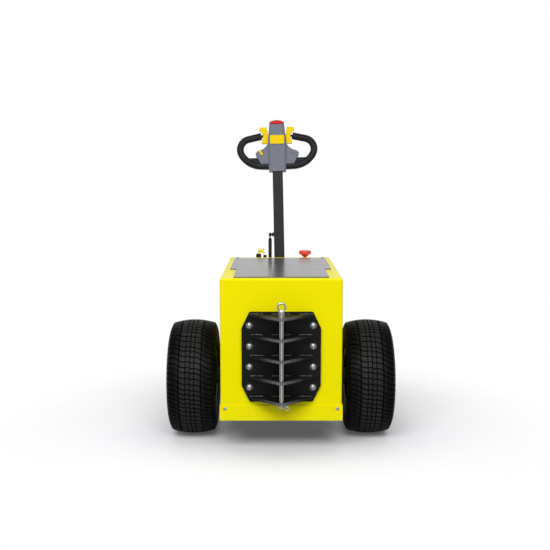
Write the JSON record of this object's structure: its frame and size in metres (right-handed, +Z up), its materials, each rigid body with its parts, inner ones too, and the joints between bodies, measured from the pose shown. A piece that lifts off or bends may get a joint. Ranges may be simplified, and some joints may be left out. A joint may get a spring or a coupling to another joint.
{
  "type": "pedestrian electric baggage tug",
  "caption": "Walk-behind battery tug with two turf-tyred drive wheels, rear swivel castor, multi-level pin hitch, battery cover with lid and hinged tiller head.",
  "frame": {"origin": "on the floor under the middle of the machine's bounding box", "axes": "+X to the machine's left-hand side as seen by an operator facing the hitch, which is the right of the front view; +Y from the hitch to the operator's tiller; +Z up"},
  "size_m": [0.9104, 1.0377, 1.3213],
  "materials": {
    "battery_case": "moulded case",
    "black_paint": "fine-textured powder coat",
    "black_plastic": "moulded",
    "black_rubber": "moulded grip",
    "cast_case": "painted casting",
    "castor_core": "moulded core",
    "castor_rubber": "solid castor tread",
    "grey_plastic": "fine-grained",
    "hitch_paint": "satin black",
    "lid_paint": "semi-gloss powder coat",
    "pin_steel": "bright plated",
    "red_plastic": "moulded",
    "rim_paint": "gloss black",
    "rod_chrome": "hard chrome",
    "strut_paint": "satin black",
    "tyre": "turf tread",
    "yellow_paint": "smooth satin powder coat",
    "yellow_plastic": "moulded",
    "zinc_steel": "zinc plated"
  },
  "bodies": {
    "machine": {"chassis_frame": "yellow_paint", "body_cover": "yellow_paint", "battery_tray": "black_paint", "battery_left": "battery_case", "battery_right": "battery_case", "transaxle": "cast_case", "drive_motor": "black_paint", "hitch_plate": "hitch_paint", "hitch_shelves": "hitch_paint", "rear_console": "yellow_paint", "tiller_bracket": "black_paint", "tiller_pin": "zinc_steel", "strut_stud_lower": "black_paint", "estop_collar": "black_plastic", "estop_button": "red_plastic", "key_switch": "black_plastic", "key_tag": "yellow_plastic", "indicator_knob": "black_plastic", "castor_plate": "zinc_steel", "lid_hinges": "black_paint"},
    "lid": {"lid": "lid_paint"},
    "hitch_pin": {"hitch_pin": "pin_steel"},
    "wheel_left": {"tyre_left": "tyre", "rim_left": "rim_paint", "hub_left": "cast_case"},
    "wheel_right": {"tyre_right": "tyre", "rim_right": "rim_paint", "hub_right": "cast_case"},
    "tiller": {"tiller_column": "black_paint", "head_housing": "grey_plastic", "grip_left": "black_rubber", "grip_right": "black_rubber", "paddle_left": "yellow_plastic", "paddle_right": "yellow_plastic", "belly_button": "red_plastic", "horn_button": "yellow_plastic", "rocker_switch": "yellow_plastic", "wing_buttons": "grey_plastic", "strut_stud_upper": "black_paint"},
    "strut_tube": {"strut_tube": "strut_paint"},
    "strut_rod": {"strut_rod": "rod_chrome"},
    "castor_fork": {"castor_fork": "zinc_steel", "castor_axle": "zinc_steel"},
    "castor_wheel": {"castor_tyre": "castor_rubber", "castor_hub": "castor_core"}
  },
  "joints": [
    {"name": "wheel_left_spin", "type": "hinge", "parent": "machine", "child": "wheel_left", "pos_m": [-0.358, -0.10286, 0.235], "axis": [1, 0, 0], "continuous": true},
    {"name": "wheel_right_spin", "type": "hinge", "parent": "machine", "child": "wheel_right", "pos_m": [0.358, -0.10286, 0.235], "axis": [1, 0, 0], "continuous": true},
    {"name": "castor_swivel", "type": "hinge", "parent": "machine", "child": "castor_fork", "pos_m": [0, 0.19714, 0.229], "axis": [0, 0, 1], "continuous": true},
    {"name": "castor_wheel_spin", "type": "hinge", "parent": "castor_fork", "child": "castor_wheel", "pos_m": [0, 0.24214, 0.1], "axis": [1, 0, 0], "continuous": true},
    {"name": "tiller_hinge", "type": "hinge", "parent": "machine", "child": "tiller", "pos_m": [0, 0.39714, 0.6], "axis": [-1, 0, 0], "range_deg": [0, 75]},
    {"name": "strut_swing", "type": "hinge", "parent": "tiller", "child": "strut_tube", "pos_m": [-0.046, 0.42142, 0.78441], "axis": [-1, 0, 0], "range_deg": [-20.77, 0]},
    {"name": "strut_stroke", "type": "slide", "parent": "strut_tube", "child": "strut_rod", "axis": [0, -0.0914, -0.9958], "range_m": [-0.04713, 0]},
    {"name": "lid_hinge", "type": "hinge", "parent": "machine", "child": "lid", "pos_m": [0, 0.28514, 0.6873], "axis": [-1, 0, 0], "range_deg": [0, 100]},
    {"name": "hitch_pin_lift", "type": "slide", "parent": "machine", "child": "hitch_pin", "axis": [0, 0, 1], "range_m": [0, 0.375]}
  ],
  "couplings": [
    {"joint": "strut_swing", "follows": "tiller_hinge", "ratio": -0.2743},
    {"joint": "strut_stroke", "follows": "tiller_hinge", "m_per_rad": -0.03562}
  ]
}
